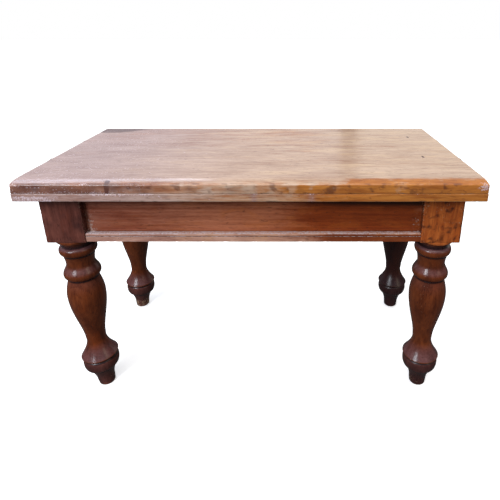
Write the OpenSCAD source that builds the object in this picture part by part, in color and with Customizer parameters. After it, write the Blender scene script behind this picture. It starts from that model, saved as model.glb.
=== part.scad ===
// Communion table: a thick boarded top on a recessed frieze, carried by four turned legs.
// Millimetres. Origin on the floor under the middle of the top. +X runs along the table,
// -Y is the front and +Z is up.

/* [Top] */
// Length of the top
top_w = 1210; // [1100:10:1300]
// Depth of the top, front to back
top_d = 632; // [600:2:700]
// Height of the top's upper face above the floor
table_h = 730; // [700:5:780]
// Thickness of the upper boards
board_t = 32; // [26:1:36]
// Thickness of the linings that thicken the top's edge
lining_t = 22; // [18:1:26]
// Width of each lining
lining_w = 120; // [112:2:130]
// Radius of the round on the top's upper edge
arris_r = 5; // [3:1:8]
// How far in from the long edges the top starts to roll down
roll_w = 42; // [30:2:60]
// How far it has rolled down at the edge
roll_drop = 7; // [3:1:10]
// Overhang of the top past the legs at each end
end_overhang = 36; // [30:1:44]
// Overhang of the top past the legs at the front and back
side_overhang = 55; // [45:1:60]

/* [Frame] */
// Width of the square block at the top of each leg
block_w = 104; // [100:1:108]
// Height of that block
block_h = 144; // [130:1:150]
// Thickness of the frieze boards
frieze_t = 22; // [20:1:26]
// Setback of the frieze behind the faces of the leg blocks
frieze_setback = 16; // [12:1:20]
// Height of the strip along the bottom of the frieze
strip_h = 25; // [16:1:28]
// Length of the tenons on the frieze boards
tenon_l = 40; // [30:1:42]

/* [Turned leg] */
// Radius of the foot just above the floor
foot_r = 25; // [22:1:28]
// Radius of the neck above the foot's bell
neck_r = 29; // [25:1:32]
// Largest radius of the vase
vase_r = 54; // [46:1:55]
// Radius of the bell and the ring below it
bell_r = 55; // [48:1:56]
// Radius of the collar and the torus above it
ring_r = 52; // [48:1:53]
// Radius of the grooves and coves between them
groove_r = 42; // [38:1:44]

/* [Hidden] */
$fn = 96;
eps = 1;             // how far a cutter runs past a face, or two joined shapes overlap
top_brown = "tan";
varnish = "saddlebrown";
bare_pine = "burlywood";
iron = "dimgray";

// Levels, from the top down
board_z = table_h - board_t;
frame_z = board_z - lining_t;
block_z = frame_z - block_h;
frieze_z = block_z + 2;

// Plan of the frame
half_w = top_w / 2;
half_d = top_d / 2;
leg_x = half_w - end_overhang - block_w / 2;
leg_y = half_d - side_overhang - block_w / 2;
inner_x = leg_x - block_w / 2;
inner_y = leg_y - block_w / 2;
end_face = leg_x + block_w / 2 - frieze_setback;     // outer face of an end frieze
side_face = leg_y + block_w / 2 - frieze_setback;    // outer face of a long frieze
end_inside = end_face - frieze_t;
side_inside = side_face - frieze_t;

// Radius of the roll along the long edges, tangent to the flat of the top
roll_r = (pow(roll_w, 2) + pow(roll_drop, 2)) / (2 * roll_drop);

// Loose tongues between the boards
board_d = top_d / 3;
tongue_t = 8;
tongue_d = 12;
tongue_stop = 40;
tongue_z = board_z + board_t / 2;

// Mortise and tenon joints
tenon_t = 10;
tenon_low = frieze_z + 12;
tenon_h = frame_z - 16 - tenon_low;
mortise_gap = 1;

// Plough groove in the frieze, and the wooden buttons that hook into it
groove_top = frame_z - 11;
groove_h = 10;
groove_d = 10;
button_w = 40;
button_d = 34;
button_t = 20;
button_tongue_h = 9;
button_tongue_d = 9;
button_x = inner_x / 2;

// Centre bearer
bearer_w = 32;
bearer_drop = 36;
bearer_tenon = 10;
bearer_screw_ys = [-140, 0, 140];

// Fasteners
screw_r = 2.4;
screw_head_r = 4.6;
screw_head_h = 3;
button_screw_l = 50;
bearer_screw_l = 46;
bearer_head_up = 30;
lining_screw_l = 38;
lining_screw_xs = [90, 340];
lining_screw_y = 80;
lining_screw_inset = 18;
brad_r = 0.9;
brad_l = 30;
long_brads = 5;
short_brads = 2;
nail_r = 1.5;
nail_head_r = 2.4;
nail_head_h = 1.2;
nail_sunk = 3.5;
nail_l = 38;
nail_spots = [[513, 153], [498, -92]];

// Round and quirk on the frieze strip
strip_round = 3;
quirk_drop = 7;
quirk_w = 1.6;
quirk_d = 1.2;

// Turned outline -------------------------------------------------------------------------
// Points are [radius, height]. Heights are shares of the turned length below the block.
function level(share) = share * block_z;

// S-shaped sweep between two points
function ogee(a, b, steps) = [
    for (i = [1:steps])
        let (t = i / steps)
        [a[0] + (b[0] - a[0]) * (1 - cos(180 * t)) / 2, a[1] + (b[1] - a[1]) * t]
];

// Half of such a sweep, which starts upright at a
function sweep(a, b, steps) = [
    for (i = [1:steps])
        let (t = i / steps)
        [a[0] + (b[0] - a[0]) * (1 - cos(90 * t)), a[1] + (b[1] - a[1]) * t]
];

// Flare that leaves a at a slant and ends upright at b
function flare(a, b, steps) = [
    for (i = [1:steps])
        let (t = i / steps)
        [a[0] + (b[0] - a[0]) * sin(90 * t), a[1] + (b[1] - a[1]) * t]
];

// Swelling curve, which leaves a upright and is upright again at b, its widest place
function swell(a, b, steps) = [
    for (i = [1:steps])
        let (t = i / steps)
        [a[0] + (b[0] - a[0]) * pow(sin(90 * t), 1.5), a[1] + (b[1] - a[1]) * t]
];

// Quarter round that starts level at a and ends upright at b
function round_to(a, b, steps) = [
    for (i = [1:steps])
        let (t = i / steps)
        [a[0] + (b[0] - a[0]) * sin(90 * t), a[1] + (b[1] - a[1]) * (1 - cos(90 * t))]
];

// Quarter round that starts upright at a and ends level at b
function round_from(a, b, steps) = [
    for (i = [1:steps])
        let (t = i / steps)
        [a[0] + (b[0] - a[0]) * (1 - cos(90 * t)), a[1] + (b[1] - a[1]) * sin(90 * t)]
];

foot_round = 4;
pad = [foot_r - foot_round, 0];
pad_top = [foot_r, foot_round];
ankle = [foot_r + 1.5, level(0.035)];
foot_top = [groove_r - 2.5, level(0.119)];
ring_low = [groove_r, level(0.126)];
ring_mid = [bell_r - 1.5, level(0.172)];
ring_top = [groove_r + 4, level(0.204)];
bell_rim = [bell_r, level(0.219)];
neck_low = [neck_r, level(0.33)];
neck_top = [neck_r + 1, level(0.357)];
vase_mid = [vase_r, level(0.636)];
vase_top = [groove_r + 0.5, level(0.744)];
collar_low = [groove_r, level(0.751)];
collar_rim = [ring_r, level(0.775)];
cove_low = [groove_r - 2.5, level(0.84)];
torus_low = [groove_r + 3, level(0.9)];
torus_mid = [ring_r, level(0.924)];
torus_top = [groove_r, level(0.948)];
pin_low = [groove_r - 2.5, level(0.952)];
pin_top = [groove_r - 2.5, level(0.985)];

turned_outline = concat(
    [[0, 0], pad],
    round_to(pad, pad_top, 6),
    [ankle],
    sweep(ankle, foot_top, 12),
    [ring_low],
    round_to(ring_low, ring_mid, 10),
    round_from(ring_mid, ring_top, 7),
    round_to(ring_top, bell_rim, 7),
    flare(bell_rim, neck_low, 22),
    [neck_top],
    swell(neck_top, vase_mid, 26),
    sweep(vase_mid, vase_top, 12),
    [collar_low],
    round_to(collar_low, collar_rim, 8),
    ogee(collar_rim, cove_low, 16),
    sweep(cove_low, torus_low, 8),
    round_to(torus_low, torus_mid, 8),
    round_from(torus_mid, torus_top, 8),
    [pin_low, pin_top, [0, pin_top[1]]]
);

// Shared shapes --------------------------------------------------------------------------
// A box between two corners
module span(low, high) {
    translate(low)
        cube(high - low);
}

// A copy at each end of the table
module both_ends() {
    children();
    mirror([1, 0, 0])
        children();
}

// A copy at the front and the back
module both_sides() {
    children();
    mirror([0, 1, 0])
        children();
}

// A prism along X, made from an outline in which +X points into the wood and +Y points up
module along_edge(length) {
    rotate([90, 0, 90])
        linear_extrude(length, center = true)
            children();
}

// What is cut from a square edge at the X axis to leave it rounded
module arris_cut(length, r) {
    along_edge(length)
        difference() {
            translate([-eps, -r])
                square([r + eps, r + eps]);
            translate([r, -r])
                circle(r);
        }
}

// What is cut from a long edge of the top: the shallow roll, then a round tangent to it
module roll_cut(length) {
    round_y = sqrt(pow(roll_r - arris_r, 2) - pow(roll_w - arris_r, 2)) - roll_r;
    meet_x = roll_w + roll_r * (arris_r - roll_w) / (roll_r - arris_r);
    along_edge(length) {
        difference() {
            translate([-eps, -2 * roll_drop])
                square([roll_w + eps, 2 * roll_drop + eps]);
            translate([roll_w, -roll_r])
                circle(roll_r, $fn = 720);
        }
        difference() {
            translate([-eps, round_y])
                square([meet_x + eps, eps - round_y]);
            translate([arris_r, round_y])
                circle(arris_r);
        }
    }
}

// A screw pointing up, the flat of its countersunk head at the origin
module screw(length) {
    rotate_extrude()
        polygon([
            [0, 0], [screw_head_r, 0], [screw_r, screw_head_h],
            [screw_r, length - screw_r], [0, length],
        ]);
}

// Top ------------------------------------------------------------------------------------
module top_rounds() {
    both_sides()
        translate([0, -half_d, table_h])
            roll_cut(top_w + 2 * eps);
    both_ends()
        translate([half_w, 0, table_h])
            rotate(90)
                arris_cut(top_d + 2 * eps, arris_r);
}

module top_board(y) {
    color(top_brown)
        difference() {
            span([-half_w, y, board_z], [half_w, y + board_d, table_h]);
            top_rounds();
            tongue(-board_d / 2);
            tongue(board_d / 2);
            top_nails();
            nail_pockets();
            lining_screws();
            bearer_screws();
            button_screws();
        }
}

module tongue(y) {
    color(bare_pine)
        span(
            [tongue_stop - half_w, y - tongue_d, tongue_z - tongue_t / 2],
            [half_w - tongue_stop, y + tongue_d, tongue_z + tongue_t / 2]
        );
}

// One lining between two mitres, its outer face at y = -face
module lining(length, face) {
    color(top_brown)
        difference() {
            translate([0, -face, frame_z])
                linear_extrude(lining_t)
                    polygon([
                        [-length / 2, 0], [length / 2, 0],
                        [length / 2 - lining_w, lining_w], [lining_w - length / 2, lining_w],
                    ]);
            children();
        }
}

module lining_front() {
    lining(top_w, half_d) {
        lining_screws();
        button_screws();
    }
}

module lining_back() {
    mirror([0, 1, 0])
        lining_front();
}

module lining_right() {
    color(top_brown)
        difference() {
            rotate(90)
                lining(top_d, half_w);
            lining_screws();
            button_screws();
            top_nails();
        }
}

module lining_left() {
    color(top_brown)
        difference() {
            rotate(-90)
                lining(top_d, half_w);
            lining_screws();
            button_screws();
        }
}

// Legs -----------------------------------------------------------------------------------
// Square block with its lower edge turned round where it meets the leg's pin
module leg_block() {
    pommel_r = 15;
    pommel_z = block_z - pommel_r;
    difference() {
        intersection() {
            span([-block_w / 2, -block_w / 2, pommel_z], [block_w / 2, block_w / 2, frame_z]);
            rotate_extrude()
                polygon(concat(
                    [[0, pommel_z]],
                    [for (a = [-90:10:0]) [groove_r + pommel_r * cos(a), block_z + pommel_r * sin(a)]],
                    [[block_w, block_z], [block_w, frame_z + eps], [0, frame_z + eps]]
                ));
        }
        frieze_mortises();
    }
}

// Mortises of the front right leg, in the leg's own frame
module frieze_mortises() {
    tenon_x = end_face - frieze_t / 2 - leg_x;
    tenon_y = leg_y - side_face + frieze_t / 2;
    reach = tenon_l + mortise_gap;
    span(
        [-block_w / 2 - eps, tenon_y - tenon_t / 2, tenon_low],
        [reach - block_w / 2, tenon_y + tenon_t / 2, tenon_low + tenon_h]
    );
    span(
        [tenon_x - tenon_t / 2, block_w / 2 - reach, tenon_low],
        [tenon_x + tenon_t / 2, block_w / 2 + eps, tenon_low + tenon_h]
    );
}

module leg_front_right() {
    color(varnish)
        translate([leg_x, -leg_y, 0]) {
            leg_block();
            rotate_extrude()
                polygon(turned_outline);
        }
}

module leg_front_left() {
    mirror([1, 0, 0])
        leg_front_right();
}

module leg_back_right() {
    mirror([0, 1, 0])
        leg_front_right();
}

module leg_back_left() {
    mirror([0, 1, 0])
        leg_front_left();
}

// Frieze ---------------------------------------------------------------------------------
// A frieze board with its two tenons, its outer face at y = -face, reach long each way
module frieze_board(reach, face) {
    span([-reach, -face, frieze_z], [reach, frieze_t - face, frame_z]);
    span(
        [-reach - tenon_l, (frieze_t - tenon_t) / 2 - face, tenon_low],
        [reach + tenon_l, (frieze_t + tenon_t) / 2 - face, tenon_low + tenon_h]
    );
}

module plough_groove(reach, face) {
    span(
        [-reach - tenon_l - eps, frieze_t - face - groove_d, groove_top - groove_h],
        [reach + tenon_l + eps, frieze_t - face + eps, groove_top]
    );
}

module frieze_front() {
    color(varnish)
        difference() {
            frieze_board(inner_x, side_face);
            plough_groove(inner_x, side_face);
            bearer_bar();
            strip_brads();
        }
}

module frieze_back() {
    mirror([0, 1, 0])
        frieze_front();
}

module frieze_right() {
    color(varnish)
        difference() {
            rotate(90) {
                difference() {
                    frieze_board(inner_y, end_face);
                    plough_groove(inner_y, end_face);
                }
            }
            strip_brads();
        }
}

module frieze_left() {
    mirror([1, 0, 0])
        frieze_right();
}

// The strip that closes the bottom of the frieze, flush with the leg blocks
module strip(reach, face) {
    front = -face - frieze_setback;
    strip_top = frieze_z + strip_h;
    difference() {
        span([-reach, front, frieze_z], [reach, -face, strip_top]);
        translate([0, front, strip_top])
            arris_cut(2 * reach + 2 * eps, strip_round);
        span(
            [-reach - eps, front - eps, strip_top - quirk_drop - quirk_w],
            [reach + eps, front + quirk_d, strip_top - quirk_drop]
        );
    }
}

module strip_front() {
    color(varnish)
        difference() {
            strip(inner_x, side_face);
            strip_brads();
        }
}

module strip_back() {
    mirror([0, 1, 0])
        strip_front();
}

module strip_right() {
    color(varnish)
        difference() {
            rotate(90)
                strip(inner_y, end_face);
            strip_brads();
        }
}

module strip_left() {
    mirror([1, 0, 0])
        strip_right();
}

// Inside ---------------------------------------------------------------------------------
// Bar across the middle, tenoned into both long friezes and notched up between the linings
module bearer_bar() {
    low = frame_z - bearer_drop;
    lining_inside = half_d - lining_w;
    tenon_reach = side_inside + bearer_tenon;
    span([-bearer_w / 2, -side_inside, low], [bearer_w / 2, side_inside, frame_z]);
    span([-bearer_w / 2, -lining_inside, low], [bearer_w / 2, lining_inside, board_z]);
    span(
        [-bearer_w / 2, -tenon_reach, low + tenon_t / 2],
        [bearer_w / 2, tenon_reach, groove_top]
    );
}

module centre_bearer() {
    color(bare_pine)
        difference() {
            bearer_bar();
            bearer_screws();
            for (y = bearer_screw_ys)
                translate([0, y, frame_z - bearer_drop - eps])
                    cylinder(r = screw_head_r, h = bearer_head_up + eps);
        }
}

// A wooden button against the front frieze, at the middle of its length
module button(face_inside) {
    color(bare_pine)
        difference() {
            union() {
                span(
                    [-button_w / 2, -face_inside, frame_z - button_t],
                    [button_w / 2, button_d - face_inside, frame_z]
                );
                span(
                    [-button_w / 2, -face_inside - button_tongue_d, groove_top - button_tongue_h],
                    [button_w / 2, eps - face_inside, groove_top]
                );
            }
            button_screw(face_inside);
        }
}

module button_front_right() {
    translate([button_x, 0, 0])
        button(side_inside);
}

module button_front_left() {
    mirror([1, 0, 0])
        button_front_right();
}

module button_back_right() {
    mirror([0, 1, 0])
        button_front_right();
}

module button_back_left() {
    mirror([0, 1, 0])
        button_front_left();
}

module button_right() {
    rotate(90)
        button(end_inside);
}

module button_left() {
    mirror([1, 0, 0])
        button_right();
}

// Fasteners ------------------------------------------------------------------------------
module button_screw(face_inside) {
    color(iron)
        translate([0, button_d / 2 - face_inside, frame_z - button_t])
            screw(button_screw_l);
}

module button_screws() {
    both_sides()
        both_ends()
            translate([button_x, 0, 0])
                button_screw(side_inside);
    both_ends()
        rotate(90)
            button_screw(end_inside);
}

module bearer_screws() {
    color(iron)
        for (y = bearer_screw_ys)
            translate([0, y, frame_z - bearer_drop + bearer_head_up])
                screw(bearer_screw_l);
}

module lining_screws() {
    color(iron) {
        both_sides()
            both_ends()
                for (x = lining_screw_xs)
                    translate([x, lining_w - lining_screw_inset - half_d, frame_z])
                        screw(lining_screw_l);
        both_sides()
            both_ends()
                translate([half_w - lining_w + lining_screw_inset, lining_screw_y, frame_z])
                    screw(lining_screw_l);
    }
}

// A row of brads through the strip, its face at y = -face - setback
module brad_row(count, reach, face) {
    pitch = 2 * reach / count;
    for (i = [0:count - 1])
        translate([pitch * (i + 0.5) - reach, -face - frieze_setback, frieze_z + strip_h / 2 - 2])
            rotate([-90, 0, 0])
                cylinder(r = brad_r, h = brad_l);
}

module strip_brads() {
    color(iron) {
        both_sides()
            brad_row(long_brads, inner_x, side_face);
        both_ends()
            rotate(90)
                brad_row(short_brads, inner_y, end_face);
    }
}

// Old nails through the top into the right lining, punched below the surface
module top_nails() {
    color(iron)
        for (spot = nail_spots)
            translate([spot[0], spot[1], table_h - nail_sunk]) {
                translate([0, 0, -nail_head_h])
                    cylinder(r = nail_head_r, h = nail_head_h);
                translate([0, 0, -nail_l])
                    cylinder(r = nail_r, h = nail_l);
            }
}

module nail_pockets() {
    for (spot = nail_spots)
        translate([spot[0], spot[1], table_h - nail_sunk])
            cylinder(r = nail_head_r, h = nail_sunk + eps);
}

top_board(-half_d);  // board_front
top_board(-board_d / 2);  // board_middle
top_board(half_d - board_d);  // board_back
tongue(-board_d / 2);  // tongue_front
tongue(board_d / 2);  // tongue_back
lining_front();
lining_back();
lining_left();
lining_right();
leg_front_left();
leg_front_right();
leg_back_left();
leg_back_right();
frieze_front();
frieze_back();
frieze_left();
frieze_right();
strip_front();
strip_back();
strip_left();
strip_right();
centre_bearer();
button_front_left();
button_front_right();
button_back_left();
button_back_right();
button_left();
button_right();
button_screws();
bearer_screws();
lining_screws();
strip_brads();
top_nails();
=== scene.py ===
import math

import bmesh
import bpy
import numpy as np
from mathutils import Matrix, Vector, noise


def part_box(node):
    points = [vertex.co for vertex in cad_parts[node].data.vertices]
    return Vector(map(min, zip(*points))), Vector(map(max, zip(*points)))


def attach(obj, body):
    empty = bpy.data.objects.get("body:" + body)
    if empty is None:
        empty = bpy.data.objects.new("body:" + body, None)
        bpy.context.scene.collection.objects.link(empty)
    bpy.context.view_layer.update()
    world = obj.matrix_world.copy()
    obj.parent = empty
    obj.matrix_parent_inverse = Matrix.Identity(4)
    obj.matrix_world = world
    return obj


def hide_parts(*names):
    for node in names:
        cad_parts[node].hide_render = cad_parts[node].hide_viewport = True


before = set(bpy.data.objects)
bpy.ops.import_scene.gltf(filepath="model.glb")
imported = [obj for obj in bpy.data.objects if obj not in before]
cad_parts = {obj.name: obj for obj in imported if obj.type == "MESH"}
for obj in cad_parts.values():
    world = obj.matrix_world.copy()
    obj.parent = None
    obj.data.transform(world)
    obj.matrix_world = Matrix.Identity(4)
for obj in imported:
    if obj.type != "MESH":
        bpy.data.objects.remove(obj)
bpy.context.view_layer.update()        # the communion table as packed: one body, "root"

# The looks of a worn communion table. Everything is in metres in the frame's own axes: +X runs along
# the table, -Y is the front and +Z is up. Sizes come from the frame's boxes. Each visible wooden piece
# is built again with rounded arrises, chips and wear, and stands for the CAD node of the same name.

MM = 0.001
SIDES = ("front", "back", "left", "right")

# ------ sizes taken from the frame
TOP_LOW, TOP_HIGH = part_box("board_front")
HALF_W = TOP_HIGH.x
HALF_D = -TOP_LOW.y
TABLE_H = TOP_HIGH.z
BOARD_Z = TOP_LOW.z
BOARD_D = TOP_HIGH.y - TOP_LOW.y
LINING_LOW, LINING_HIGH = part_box("lining_front")
LINING_W = LINING_HIGH.y - LINING_LOW.y
LINING_Z = LINING_LOW.z
LEG_LOW, LEG_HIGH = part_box("leg_front_right")
BLOCK = (LEG_HIGH.x - LEG_LOW.x) / 2
STRIP_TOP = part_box("strip_front")[1].z
TONGUE_LOW, TONGUE_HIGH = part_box("tongue_front")
TONGUE_REACH = (TONGUE_HIGH.y - TONGUE_LOW.y) / 2
BOARD_STEP = 5 * MM  # between the stations along a top board
# A groove closes within one step of this distance from the board's end, just past its tongue, and
# keeps this share of its depth from there on.
GROOVE_STOP = HALF_W + TONGUE_LOW.x - BOARD_STEP - 0.5 * MM
GROOVE_LEFT = 0.02

# ------ where the photograph shows wear
SAW_MARK_X, SAW_MARK_R = -0.360, 5 * MM  # dark mark across the upper layer of the front edge
FACE_COAT_X, ROLL_COAT_X = 0.05, 0.20  # right of these, edge and roll keep their varnish
DRIPS_X, DRIP_R = (0.011, 0.157), 9 * MM  # pale drips on the front lining
SPLINTER_LEFT, SPLINTER_RIGHT = (0.14, 0.22), (0.34, 0.30)  # lost splinter's ends
SMEAR_X, SMEAR_R = -0.247, 12 * MM  # pale upright smear on the front frieze
SCRATCH_Z, SCRATCH_R = 0.595, 2.5 * MM  # pale scratch across the front right block
FOOT_RIM = 12 * MM  # knocked rim of each foot


# ------ small numbers
def ramp(low, high, value):
    """0 below low, 1 above high, and a smooth rise between them."""
    t = min(max((value - low) / (high - low), 0.0), 1.0)
    return t * t * (3 - 2 * t)


def peak(distance, reach):
    """1 at distance 0, fading out over about one reach."""
    return math.exp(-((distance / reach) ** 2))


def mottle(point, scale, seed, octaves=3):
    """Smooth noise from about -1 to 1, with blotches about one scale across."""
    return noise.fractal(point / scale + Vector((seed * 7.3, seed * 3.1, seed * 5.7)), 1.0, 2.0, octaves)


# ------ outlines and lofts
def outline(corners):
    """A closed outline through corners (u, v, radius, step), counter-clockwise. A corner is rounded by
    its radius, and the edge after it is cut into lengths of at most step. A fifth value, True, marks
    one that takes wear. Returns each point, its outward normal, and its distance to such a corner."""
    points = []
    count = len(corners)
    for i, (u, v, radius, *_) in enumerate(corners):
        here = Vector((u, v))
        before = Vector(corners[i - 1][:2]) - here
        after = Vector(corners[(i + 1) % count][:2]) - here
        before.normalize()
        after.normalize()
        turn = math.pi - before.angle(after)
        if radius <= 0 or turn < 1e-3:
            points.append((here, i))
            continue
        reach = radius * math.tan(turn / 2)
        centre = here + (before + after).normalized() * math.hypot(radius, reach)
        start = here + before * reach - centre
        sign = 1 if before.cross(after) < 0 else -1
        steps = max(2, math.ceil(math.degrees(turn) / 14), math.ceil(turn * radius / (4 * MM)))
        for k in range(steps + 1):
            spin = Matrix.Rotation(sign * turn * k / steps, 2)
            points.append((centre + spin @ start, i))
    dense = []
    for k, (point, i) in enumerate(points):
        nxt, j = points[(k + 1) % len(points)]
        dense.append(point)
        if j != i:
            cuts = max(1, math.ceil((nxt - point).length / corners[i][3]))
            dense += [point.lerp(nxt, c / cuts) for c in range(1, cuts)]
    normals = []
    for k, point in enumerate(dense):
        along = (dense[(k + 1) % len(dense)] - dense[k - 1]).normalized()
        normals.append(Vector((along.y, -along.x)))
    worn = [Vector(c[:2]) for c in corners if len(c) > 4]
    reach = [min(((p - w).length for w in worn), default=1.0) for p in dense]
    return dense, normals, reach


def stretch(half, step, rounded):
    """Stations from -half to half about one step apart, closer over the rounded ends."""
    near = [half - rounded * n for n in (0.0, 0.08, 0.2, 0.36, 0.58)]
    middle = np.linspace(rounded - half, half - rounded, round(2 * half / step))
    return [*(-n for n in near), *middle, *reversed(near)]


def new_mesh(name, points, faces):
    mesh = bpy.data.meshes.new(name)
    mesh.from_pydata([tuple(p) for p in points], [], faces)
    mesh.validate()
    piece = bpy.data.objects.new(name, mesh)
    bpy.context.scene.collection.objects.link(piece)
    return piece


def tube_faces(n, rings):
    """The faces of a tube through this many rings of n points, with both ends capped."""
    faces = [
        (k * n + i, k * n + (i + 1) % n, (k + 1) * n + (i + 1) % n, (k + 1) * n + i)
        for k in range(rings - 1)
        for i in range(n)
    ]
    last = (rings - 1) * n
    return [*faces, tuple(range(n - 1, -1, -1)), tuple(range(last, last + n))]


def draw(p, n, joints):
    """The direction in which a section's point p, with normal n, draws in at a bar's rounded end."""
    if not any(abs(p.x - u) < TONGUE_REACH + MM for u in joints):
        return n
    outside = p.y > TABLE_H - 2 * MM or p.y < BOARD_Z + 2 * MM
    return Vector((0, n.y)) if outside else Vector((0, 0))


def stopped(p, joints, from_end):
    """A section's point p. The groove of a joint stops short of the bar's ends, so its points come
    back almost to the joint's face there."""
    in_groove = TONGUE_LOW.z - MM < p.y < TONGUE_HIGH.z + MM
    for u in joints:
        if in_groove and from_end < GROOVE_STOP and abs(p.x - u) < TONGUE_REACH + MM:
            return Vector((u + GROOVE_LEFT * (p.x - u), p.y))
    return p


def loft(name, shape, along, place, end_round=0.0, upper_round=None, mitre=None, joints=()):
    """A bar whose section is shape, run through the stations in along and set down by place(along,
    u, v). The ends draw in by end_round, and by upper_round where the section faces up. mitre(u)
    gives how much shorter each end is at u. Beside the depths in joints only the top and bottom draw
    in. Returns the piece and each point's distance to wear."""
    dense, normals, reach = shape
    upper_round = end_round if upper_round is None else upper_round
    low, high = along[0], along[-1]
    points, wear = [], []
    for s in along:
        from_end = min(s - low, high - s)
        for p, n, d in zip(dense, normals, reach):
            r = end_round + (upper_round - end_round) * ramp(0.2, 0.8, n.y)
            inset = r - math.sqrt(max(r * r - (r - from_end) ** 2, 0)) if from_end < r else 0.0
            q = stopped(p, joints, from_end) - draw(p, n, joints) * inset
            position = s
            if mitre:
                middle = (low + high) / 2
                share = (s - middle) / (high - middle)
                position = middle + share * (high - middle - mitre(p.x))
            points.append(place(position, q.x, q.y))
            wear.append(min(d, from_end if end_round else 1.0))
    piece = new_mesh(name, points, tube_faces(len(dense), len(along)))
    outward(piece)
    return piece, wear


def merge_doubles(piece):
    """Joins points that share a place, so that no face has a zero-length edge."""
    shape = bmesh.new()
    shape.from_mesh(piece.data)
    bmesh.ops.remove_doubles(shape, verts=shape.verts, dist=1e-6)
    bmesh.ops.dissolve_degenerate(shape, edges=shape.edges, dist=1e-7)
    shape.to_mesh(piece.data)
    shape.free()


def outward(piece):
    """Turns the faces outwards if the closed mesh came out inside out."""
    mesh = piece.data
    mesh.calc_loop_triangles()
    co = np.array([v.co for v in mesh.vertices])
    tris = np.array([t.vertices for t in mesh.loop_triangles])
    a, b, c = co[tris[:, 0]], co[tris[:, 1]], co[tris[:, 2]]
    if np.einsum("ij,ij->i", a, np.cross(b, c)).sum() < 0:
        mesh.flip_normals()
    mesh.update()


SHARP = math.radians(38)


def shade(piece):
    """Smooth shading that keeps edges sharper than SHARP."""
    mesh = piece.data
    mesh.polygons.foreach_set("use_smooth", [True] * len(mesh.polygons))
    mesh.set_sharp_from_angle(angle=SHARP)
    mesh.update()


# ------ weather and wear
def weather(piece, reach, seed, chip=1.2 * MM, arris=3.5 * MM, often=0.25, wave=0.15 * MM):
    """Rubs and chips the arrises, and leaves the faces slightly uneven. Wood is only taken away.
    Returns how much of the arris's wear each point took, from 0 to 1."""
    mesh = piece.data
    mesh.update()
    normals = [n.vector.copy() for n in mesh.vertex_normals]
    rubbed = []
    for vertex, normal, distance in zip(mesh.vertices, normals, reach):
        near = peak(distance, arris)
        depth = wave * (0.5 + 0.5 * mottle(vertex.co, 90 * MM, seed, 2))
        bite = 0.0
        if near > 0.02:
            bite = ramp(often, often + 0.45, mottle(vertex.co, 16 * MM, seed + 2, 4))
            rub = 0.5 + 0.5 * mottle(vertex.co, 60 * MM, seed + 5, 2)
            depth += near * (0.35 * chip * rub + chip * bite)
        rubbed.append(near * (0.55 + 0.45 * bite))
        vertex.co -= normal * depth
    mesh.update()
    return rubbed


def paint(piece, name, value):
    """Stores value(position, normal, index) of each point as an attribute that materials read."""
    mesh = piece.data
    layer = mesh.attributes.new(name, "FLOAT", "POINT")
    normals = mesh.vertex_normals
    layer.data.foreach_set(
        "value", [float(value(v.co, normals[i].vector, i)) for i, v in enumerate(mesh.vertices)]
    )


def dress(piece, material, slot, seed, pith, **wear):
    """Paints the attributes that every wood material reads, and hands the piece over to the frame.
    pith is a point on the line that the growth rings run round. wear gives varnish,
    grime (dirt, painted shade and a painted dark reflection), scuff
    (scuffs and painted highlights) and fade (bleaching and a painted cool sheen) as
    functions for paint."""
    for label, value in wear.items():
        paint(piece, label, value)
    paint(piece, "seed", lambda *_: seed)
    for part, value in zip("xyz", pith):
        paint(piece, "pith_" + part, lambda *_: value)
    piece.data.materials.append(material)
    shade(piece)
    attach(piece, "root")


# ------ materials
class Graph:
    """Shorthand for building the nodes of owner, a material or a world. node returns the node, and
    the methods below feed return its output socket."""

    def __init__(self, owner):
        self.owner = owner
        owner.use_nodes = True
        self.tree = owner.node_tree
        self.tree.nodes.clear()

    def node(self, kind, settings=None, inputs=None):
        made = self.tree.nodes.new(kind)
        for key, value in (settings or {}).items():
            setattr(made, key, value)
        for key, value in (inputs or {}).items():
            self.feed(made.inputs[key], value)
        return made

    def feed(self, socket, value):
        """Links an output socket to socket, or sets a plain value. A colour is (r, g, b)."""
        if isinstance(value, bpy.types.NodeSocket):
            self.tree.links.new(value, socket)
        elif socket.type == "RGBA":
            socket.default_value = (*value, 1.0)
        else:
            socket.default_value = value

    def math(self, operation, a, b=0.0, clamp=False):
        settings = {"operation": operation, "use_clamp": clamp}
        return self.node("ShaderNodeMath", settings, {0: a, 1: b}).outputs[0]

    def vector(self, operation, a, b):
        return self.node("ShaderNodeVectorMath", {"operation": operation}, {0: a, 1: b}).outputs[0]

    def attribute(self, name):
        return self.node("ShaderNodeAttribute", {"attribute_name": name}).outputs["Fac"]

    def mapping(self, vector, scale=(1, 1, 1), rotation=(0, 0, 0)):
        inputs = {"Vector": vector, "Scale": scale, "Rotation": rotation}
        return self.node("ShaderNodeMapping", None, inputs).outputs[0]

    def noise(self, vector, scale, detail=3.0, rough=0.55, distortion=0.0):
        inputs = dict(Vector=vector, Scale=scale, Detail=detail, Roughness=rough, Distortion=distortion)
        return self.node("ShaderNodeTexNoise", None, inputs).outputs["Fac"]

    def between(self, value, low, high, out_low=0.0, out_high=1.0):
        settings = {"interpolation_type": "SMOOTHSTEP"}
        inputs = {"Value": value, 1: low, 2: high, 3: out_low, 4: out_high}
        return self.node("ShaderNodeMapRange", settings, inputs).outputs[0]

    def plus(self, a, b, clamp=False):
        return self.math("ADD", a, b, clamp)

    def times(self, a, b):
        return self.math("MULTIPLY", a, b)

    def sway(self, base, noise, weight):
        """base, moved up and down by noise that runs from 0 to 1."""
        return self.plus(base, self.times(self.math("SUBTRACT", noise, 0.5), weight))

    def blend(self, factor, a, b):
        made = self.node("ShaderNodeMix", {"data_type": "RGBA", "blend_type": "MIX"})
        self.feed(made.inputs[0], factor)
        self.feed(made.inputs[6], a)
        self.feed(made.inputs[7], b)
        return made.outputs[2]

    def finish(self, shader, output="ShaderNodeOutputMaterial"):
        """Makes the shader node what shows, and returns the owner of the nodes."""
        self.feed(self.node(output).inputs[0], shader.outputs[0])
        return self.owner


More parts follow.
